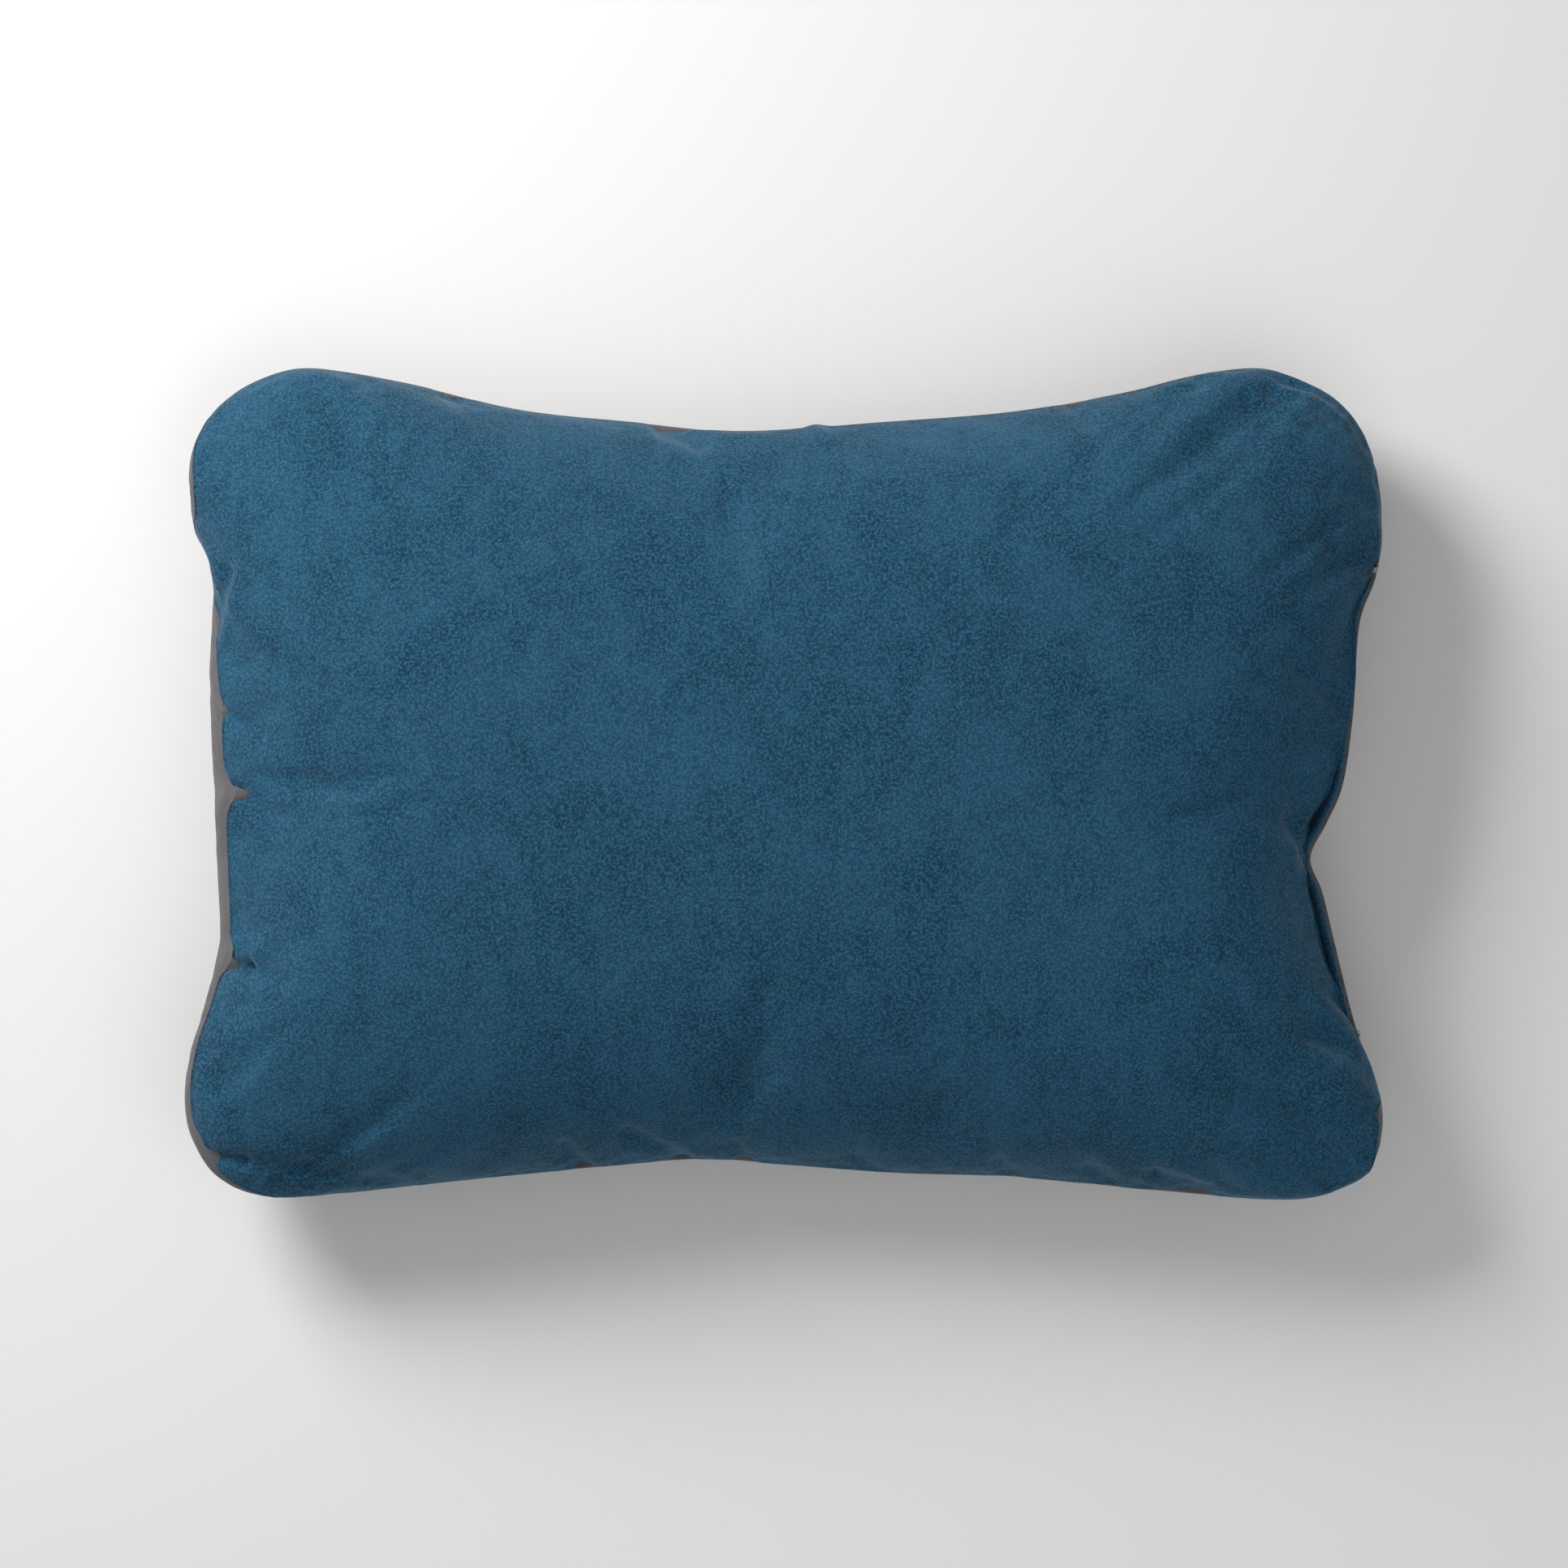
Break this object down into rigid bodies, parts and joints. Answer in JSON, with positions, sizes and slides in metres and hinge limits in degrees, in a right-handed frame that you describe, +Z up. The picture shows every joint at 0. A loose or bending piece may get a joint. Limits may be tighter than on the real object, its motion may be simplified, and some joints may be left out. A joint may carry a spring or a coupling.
{
  "type": "camp pillow",
  "caption": "Stuffed camp pillow with a brushed face, a plain woven back and a stow pocket whose lipped mouth opens at one end.",
  "frame": {"origin": "on the ground under the middle of the pillow, which lies on its back panel", "axes": "+X along the length, towards the end with the stow pocket; +Y across the width; +Z up through the loft, out of the brushed face"},
  "size_m": [0.584, 0.406, 0.12],
  "materials": {
    "face_cloth": "brushed teal-blue microsuede",
    "back_cloth": "plain gray weave",
    "lining": "plain gray weave",
    "fill": "shredded open-cell foam",
    "thread": "pale sewing thread"
  },
  "bodies": {
    "pillow": {"front_panel": "face_cloth", "back_panel": "back_cloth", "foam_core": "fill", "foam_under_pocket": "fill", "foam_over_pocket": "fill", "pocket_leaf_back": "lining", "pocket_leaf_front": "lining", "mouth_facing": "face_cloth", "bar_tack_upper": "thread", "bar_tack_lower": "thread"},
    "lip": {"mouth_lip": "face_cloth", "lip_fill": "fill", "lip_lining": "lining"}
  },
  "joints": [
    {"name": "mouth_lift", "type": "hinge", "parent": "pillow", "child": "lip", "pos_m": [0.238, 0, 0.108], "axis": [0, -1, 0], "range_deg": [0, 30]}
  ]
}
